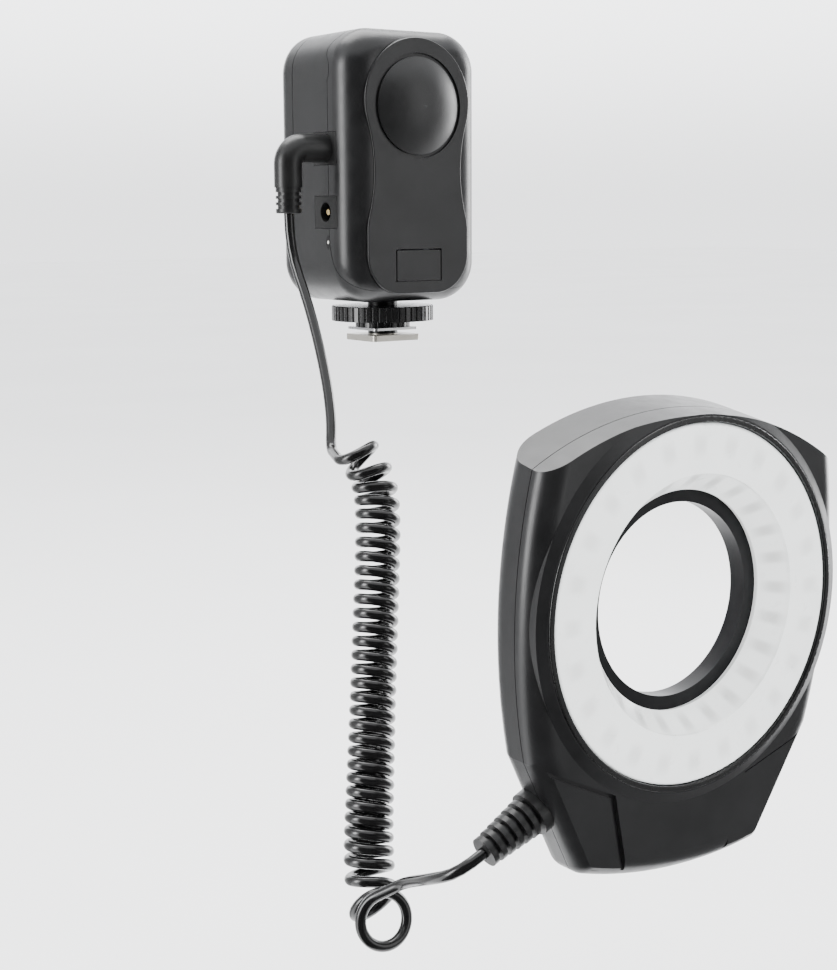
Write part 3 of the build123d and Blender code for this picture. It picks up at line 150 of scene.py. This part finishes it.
def spline_object(name, points, radius):
    """A round tube on a smooth curve with the given control points, in millimetres."""
    curve = bpy.data.curves.new(name, "CURVE")
    curve.dimensions = "3D"
    curve.bevel_depth = 1.0
    curve.bevel_resolution = 6
    curve.resolution_u = 4
    curve.use_fill_caps = True
    line = curve.splines.new("NURBS")
    line.points.add(len(points) - 1)
    for slot, point in zip(line.points, points):
        slot.co = (point.x * MM, point.y * MM, point.z * MM, 1.0)
        slot.radius = radius * MM
    line.order_u = 3
    line.use_endpoint_u = True
    piece = bpy.data.objects.new(name, curve)
    scene.collection.objects.link(piece)
    return piece


# The cord's route in millimetres: down from the plug's collar, through the curls and up to
# the end of the lamp head's strain relief, which points along boot_way
PLUG_END = Vector((-40.3, -7.3, 42.5))
PLUG_RUN = Vector((0, 0, 11.5))
UPPER = [Vector(p) for p in ((-39.7, -18.0, 13.8), (-41.5, -30.0, -6.2), (-44.6, -38.5, -20.0))]
CURL_LEAD = (9.2, 3.2)
CURL_TAIL = (3.2, 8.2)
LOWER_STEP = Vector((-9.4, 12.0, -9.2))
BOOT_RUN = 9.0

boot_seat = Vector((-HEEL_X - HIP_RIGHT * BOOT_UP / HIP_UP, BOOT_Y, HEEL_Z + BOOT_UP))
boot_upright = Vector((-HIP_UP, 0.0, -HIP_RIGHT)).normalized()
head_turn = Matrix.Rotation(HEAD_ROLL, 3, "Y")
boot_way = head_turn @ boot_upright
boot_end = Vector((0.0, HEAD_Y, HEAD_Z)) + head_turn @ (boot_seat + boot_upright * BOOT_LENGTH)

curls = curl_points()
curl_in = (curls[1] - curls[0]).normalized()
curl_out = (curls[-1] - curls[-2]).normalized()
cord_points = [PLUG_END, PLUG_END - PLUG_RUN, *UPPER, *[curls[0] - curl_in * lead for lead in CURL_LEAD],
               *curls, *[curls[-1] + curl_out * tail for tail in CURL_TAIL],
               boot_end + LOWER_STEP, boot_end + boot_way * BOOT_RUN, boot_end]
cord = spline_object("cord", cord_points, CABLE_R)
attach(cord, "housing")
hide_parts("cord_upper", "cord_coil", "cord_lower")


# Tools for materials. A noise's value lies between these two nearly everywhere.
NOISE_LOW, NOISE_HIGH = 0.3, 0.7
GRAIN_STEP = 0.00005


def new_material(name):
    """A material with its node tree and its shader."""
    made = bpy.data.materials.new(name)
    made.use_nodes = True
    return made, made.node_tree, made.node_tree.nodes["Principled BSDF"]


def noise_value(tree, place, scale, detail):
    """Noise over the surface, as a socket."""
    noise = tree.nodes.new("ShaderNodeTexNoise")
    noise.inputs["Scale"].default_value = scale
    noise.inputs["Detail"].default_value = detail
    tree.links.new(place.outputs["Object"], noise.inputs["Vector"])
    return noise.outputs["Fac"]


def grain(tree, shader, scale, strength, step):
    """Fine moulded grain as a bump; gives the coordinates that the other nodes use too."""
    place = tree.nodes.new("ShaderNodeTexCoord")
    bump = tree.nodes.new("ShaderNodeBump")
    bump.inputs["Strength"].default_value = strength
    bump.inputs["Distance"].default_value = step
    tree.links.new(noise_value(tree, place, scale, 3.0), bump.inputs["Height"])
    tree.links.new(bump.outputs["Normal"], shader.inputs["Normal"])
    return place


def tinted(tree, shader, share, first, second, start=0.0, end=1.0):
    """Base colour that goes from one colour at start to another at the end of a share."""
    ramp = tree.nodes.new("ShaderNodeValToRGB")
    for stop, color, position in zip(ramp.color_ramp.elements, (first, second), (start, end)):
        stop.position = position
        stop.color = (*color, 1.0)
    tree.links.new(share, ramp.inputs["Fac"])
    tree.links.new(ramp.outputs["Color"], shader.inputs["Base Color"])


def wandering_color(tree, shader, place, dark, light, scale):
    """Base colour that wanders between two colours over the surface."""
    tinted(tree, shader, noise_value(tree, place, scale, 4.0), dark, light, NOISE_LOW, NOISE_HIGH)


def wandering_roughness(tree, shader, place, low, high, scale):
    """Roughness that wanders between two values over the surface."""
    span = tree.nodes.new("ShaderNodeMapRange")
    span.inputs["From Min"].default_value = NOISE_LOW
    span.inputs["From Max"].default_value = NOISE_HIGH
    span.inputs["To Min"].default_value = low
    span.inputs["To Max"].default_value = high
    tree.links.new(noise_value(tree, place, scale, 4.0), span.inputs["Value"])
    tree.links.new(span.outputs["Result"], shader.inputs["Roughness"])


def math_node(tree, kind, *values):
    """A maths node fed with sockets or numbers; gives its result."""
    made = tree.nodes.new("ShaderNodeMath")
    made.operation = kind
    for slot, value in zip(made.inputs, values):
        if isinstance(value, (int, float)):
            slot.default_value = value
        else:
            tree.links.new(value, slot)
    return made.outputs[0]


def distance(tree, a, b):
    """Length of the way whose two parts are given."""
    squares = [math_node(tree, "MULTIPLY", part, part) for part in (a, b)]
    return math_node(tree, "SQRT", math_node(tree, "ADD", *squares))


def banded(tree, value, low, high, start=0.0, end=1.0):
    """The start value below low and the end value above high, smooth between."""
    span = tree.nodes.new("ShaderNodeMapRange")
    span.interpolation_type = "SMOOTHSTEP"
    span.inputs["From Min"].default_value = low
    span.inputs["From Max"].default_value = high
    span.inputs["To Min"].default_value = start
    span.inputs["To Max"].default_value = end
    tree.links.new(value, span.inputs["Value"])
    return span.outputs["Result"]


def coordinates(tree, place, output="Object"):
    """The X, Y and Z of a point, as sockets by name."""
    split = tree.nodes.new("ShaderNodeSeparateXYZ")
    tree.links.new(place.outputs[output], split.inputs["Vector"])
    return split.outputs


def plastic(name, dark, light, rough, spread, scale, strength, coat=0.0, metallic=0.0, specular=0.5):
    """Moulded or metal finish: grain of a scale and strength, colour and roughness that wander a little."""
    made, tree, shader = new_material(name)
    place = grain(tree, shader, scale, strength, GRAIN_STEP)
    wandering_color(tree, shader, place, dark, light, 60.0)
    wandering_roughness(tree, shader, place, rough - spread, rough + spread, 240.0)
    shader.inputs["Metallic"].default_value = metallic
    shader.inputs["Specular IOR Level"].default_value = specular
    shader.inputs["Coat Weight"].default_value = coat
    shader.inputs["Coat Roughness"].default_value = 0.12
    return made


# The diffuser's painted shade of the lamps behind it, as grey marks: for each ring their number, its radius,
# their half width and their strength
PAINTED_SHADE_RINGS = ((24, 33.8, 2.2, 0.50), (24, 44.0, 3.0, 0.26))
PAINTED_SHADE_WAVE = -0.2
PAINTED_SHADE_CORE, PAINTED_SHADE_EDGE = 0.1, 1.5
MILK_CLOUD = 0.16


def diffuser_material():
    """Milky cover; the shade of the lamps behind it is painted as faint grey marks on its slope and on its
    flat ring.
    """
    made, tree, shader = new_material("diffuser_milky")
    place = grain(tree, shader, 500.0, 0.1, 0.00004)
    at = coordinates(tree, place)
    height = math_node(tree, "SUBTRACT", at["Z"], HEAD_Z * MM)
    angle = math_node(tree, "ARCTAN2", height, at["X"])
    reach = distance(tree, at["X"], height)
    share = math_node(tree, "MULTIPLY", noise_value(tree, place, 70.0, 2.0), MILK_CLOUD)
    # Painted shade: grey marks in rings where the lamps sit behind the cover, added to the milky cloud
    for count, radius, wide, strength in PAINTED_SHADE_RINGS:
        wave = math_node(tree, "COSINE", math_node(tree, "MULTIPLY", angle, count))
        off = math_node(tree, "ABSOLUTE", math_node(tree, "SUBTRACT", reach, radius * MM))
        near = banded(tree, off, PAINTED_SHADE_CORE * wide * MM, PAINTED_SHADE_EDGE * wide * MM, 1.0, 0.0)
        painted_shade = math_node(tree, "MULTIPLY", banded(tree, wave, PAINTED_SHADE_WAVE, 1.0), near)
        share = math_node(tree, "ADD", math_node(tree, "MULTIPLY", painted_shade, strength), share)
    tinted(tree, shader, share, (0.80, 0.82, 0.805), (0.30, 0.30, 0.29))
    wandering_roughness(tree, shader, place, 0.26, 0.34, 200.0)
    shader.inputs["Coat Weight"].default_value = 0.25
    shader.inputs["Coat Roughness"].default_value = 0.08
    return made


def foot_material():
    """Bare metal of the shoe foot, with the stem above it blackened."""
    made, tree, shader = new_material("foot_metal")
    place = grain(tree, shader, 1800.0, 0.2, 0.00003)
    black = banded(tree, coordinates(tree, place)["Z"], (FOOT_THICK + 0.1) * MM, (FOOT_THICK + 0.3) * MM)
    tinted(tree, shader, black, (0.42, 0.40, 0.36), (0.012, 0.012, 0.012))
    wandering_roughness(tree, shader, place, 0.28, 0.40, 300.0)
    shader.inputs["Metallic"].default_value = 0.85
    return made


def lamp_material():
    """Dark clear lamp window with a painted highlight: a pale dot in its middle."""
    made, tree, shader = new_material("lamp_lens")
    place = grain(tree, shader, 900.0, 0.05, 0.00003)
    at = coordinates(tree, place)
    painted_glint_distance = distance(tree, math_node(tree, "SUBTRACT", at["Y"], LAMP_Y * MM),
                    math_node(tree, "SUBTRACT", at["Z"], LAMP_Z * MM))
    # Painted highlight: a pale dot at the window's middle, dark clear window elsewhere
    tinted(tree, shader, banded(tree, painted_glint_distance, 0.3 * MM, 0.7 * MM), (0.55, 0.54, 0.50), (0.002, 0.002, 0.002))
    wandering_roughness(tree, shader, place, 0.30, 0.36, 200.0)
    shader.inputs["Specular IOR Level"].default_value = 0.25
    return made


# A material for each slot of the record, and for three nodes that look different from their slot
cord_black = plastic("cord_black", (0.002, 0.002, 0.002), (0.0035, 0.0035, 0.0035),
                     0.22, 0.04, 1800.0, 0.12, coat=0.2, specular=0.45)
jack_satin = plastic("jack_satin", (0.003, 0.003, 0.003), (0.005, 0.005, 0.005),
                     0.5, 0.04, 2200.0, 0.3, specular=0.3)
SLOT_MATERIALS = {
    "casing": plastic("casing_satin", (0.0035, 0.0035, 0.0038), (0.006, 0.006, 0.0064),
                      0.33, 0.04, 2600.0, 0.55, specular=0.42),
    "gloss_black": plastic("gloss_black", (0.0025, 0.0025, 0.0026), (0.004, 0.004, 0.004),
                           0.26, 0.04, 1500.0, 0.08, coat=0.1, specular=0.4),
    "cord_rubber": cord_black,
    "grip_rubber": plastic("grip_black", (0.003, 0.003, 0.003), (0.005, 0.005, 0.005),
                           0.36, 0.04, 2200.0, 0.2, specular=0.4),
    "diffuser_white": diffuser_material(),
    "reflector_white": plastic("reflector_white", (0.78, 0.78, 0.77), (0.86, 0.86, 0.85),
                               0.3, 0.05, 900.0, 0.1),
    "black_metal": plastic("black_metal", (0.012, 0.012, 0.013), (0.020, 0.020, 0.021),
                           0.36, 0.04, 2600.0, 0.2, metallic=0.8),
    "foot_metal": foot_material(),
    "steel": plastic("steel", (0.45, 0.45, 0.46), (0.58, 0.58, 0.58), 0.30, 0.05, 1200.0, 0.15, metallic=1.0),
    "contact_brass": plastic("brass", (0.62, 0.45, 0.20), (0.78, 0.60, 0.30),
                             0.25, 0.05, 1200.0, 0.1, metallic=1.0),
    "board_green": plastic("board", (0.010, 0.10, 0.030), (0.020, 0.14, 0.045), 0.35, 0.04, 900.0, 0.1),
    "chip_black": plastic("chip", (0.015, 0.015, 0.015), (0.028, 0.028, 0.028), 0.5, 0.05, 3000.0, 0.2),
    "led_face": plastic("led_face", (0.75, 0.68, 0.35), (0.85, 0.80, 0.50), 0.25, 0.04, 900.0, 0.1),
    "cell_wrap": plastic("cell_wrap", (0.32, 0.33, 0.35), (0.42, 0.43, 0.45),
                         0.32, 0.05, 700.0, 0.1, metallic=0.6),
    "lamp_lens": lamp_material(),
}
NODE_MATERIALS = {
    "front_dome": plastic("dome_satin", (0.004, 0.004, 0.0042), (0.006, 0.006, 0.0062),
                          0.38, 0.03, 2600.0, 0.35),
    "power_jack": jack_satin,
    "output_jack": jack_satin,
}
for part in frame["record"]["subparts"]:
    for slot in frame["nodes"][part["node"]].material_slots:
        slot.material = NODE_MATERIALS.get(part["node"], SLOT_MATERIALS[part["material_slot"]])
cord.data.materials.append(cord_black)


# Studio in metres: a pale floor, and curved cards that only reflections show. Their azimuth 0
# is in front of the lamp.
FLOOR_Z, FLOOR_HALF = -0.24, 9.0
CARD_NEAR, CARD_FAR = 0.10, 1.5
CARD_LOW, CARD_HIGH = FLOOR_Z + 0.004, 1.2
CARD_MIDDLE_Y = -0.08
CARD_STEPS = 12


def stage_piece(name, corners, faces, material):
    """A mesh that belongs to the studio and not to the object."""
    mesh = bpy.data.meshes.new(name)
    mesh.from_pydata(corners, [], faces)
    piece = bpy.data.objects.new(name, mesh)
    scene.collection.objects.link(piece)
    piece.data.materials.append(material)
    return piece


def matt_material(name, dark, light, rough, scale):
    """Plain matt grey with a faint grain."""
    made, tree, shader = new_material(name)
    place = grain(tree, shader, scale, 0.05, 0.0001)
    wandering_color(tree, shader, place, (dark,) * 3, (light,) * 3, 3.0)
    shader.inputs["Roughness"].default_value = rough
    return made


def card(name, first, last, shade):
    """A card from one azimuth to another, with its foot on the floor and a wall at its far side."""
    corners, faces = [], []
    for number in range(CARD_STEPS + 1):
        azimuth = math.radians(first + (last - first) * number / CARD_STEPS)
        for far, height in ((CARD_NEAR, CARD_LOW), (CARD_FAR, CARD_LOW), (CARD_FAR, CARD_HIGH)):
            corners.append((far * math.sin(azimuth), -far * math.cos(azimuth) + CARD_MIDDLE_Y, height))
        if number:
            k = 3 * number
            faces += [(k - 3, k, k + 1, k - 2), (k - 2, k + 1, k + 2, k - 1)]
    piece = stage_piece(name, corners, faces, matt_material(name, shade, 1.2 * shade, 0.9, 200.0))
    piece.visible_camera = False
    piece.visible_diffuse = False
    piece.visible_shadow = False
    piece.visible_transmission = False


floor_corners = [(x * FLOOR_HALF, y * FLOOR_HALF, FLOOR_Z) for x, y in ((-1, -1), (1, -1), (1, 1), (-1, 1))]
stage_piece("floor", floor_corners, [(0, 1, 2, 3)], matt_material("floor_pale", 0.90, 0.94, 0.8, 300.0))
card("card_left", -84, 4, 0.004)
card("card_front", 4, 74, 0.10)
card("card_side", -172, -116, 0.26)


def area_light(name, spot, aim, width, height, power):
    """A rectangular lamp that looks at a point."""
    lamp = bpy.data.lights.new(name, "AREA")
    lamp.shape = "RECTANGLE"
    lamp.size = width
    lamp.size_y = height
    lamp.energy = power
    holder = bpy.data.objects.new(name, lamp)
    scene.collection.objects.link(holder)
    holder.visible_camera = False
    holder.location = spot
    holder.rotation_euler = (Vector(aim) - Vector(spot)).to_track_quat("-Z", "Y").to_euler()


middle = (-0.02, -0.08, -0.03)
area_light("top_softbox", (0.1, 0.30, 0.95), middle, 1.0, 0.7, 20.0)
area_light("left_key", (-1.0, 0.10, 0.10), middle, 0.26, 0.6, 7.0)
area_light("front_box", (0.55, -1.05, 0.20), (0.0, -0.15, -0.03), 0.5, 0.9, 2.2)
area_light("right_rim", (1.0, 0.02, 0.10), middle, 0.36, 0.6, 7.0)

# The world's light by height, as the product of two steps: brighter just above the horizon,
# where it matches the floor, and dimmer overhead. Each step has its heights and its strengths.
HORIZON_STEP = (0.0, 0.14, 2.5, 4.4)
OVERHEAD_STEP = (0.22, 0.8, 1.0, 0.42)

world = bpy.data.worlds.new("studio")
scene.world = world
world.use_nodes = True
tree = world.node_tree
height = coordinates(tree, tree.nodes.new("ShaderNodeTexCoord"), "Generated")["Z"]
glow = math_node(tree, "MULTIPLY", banded(tree, height, *HORIZON_STEP), banded(tree, height, *OVERHEAD_STEP))
tree.links.new(glow, tree.nodes["Background"].inputs["Strength"])
tree.nodes["Background"].inputs["Color"].default_value = (0.97, 0.98, 1.0, 1.0)
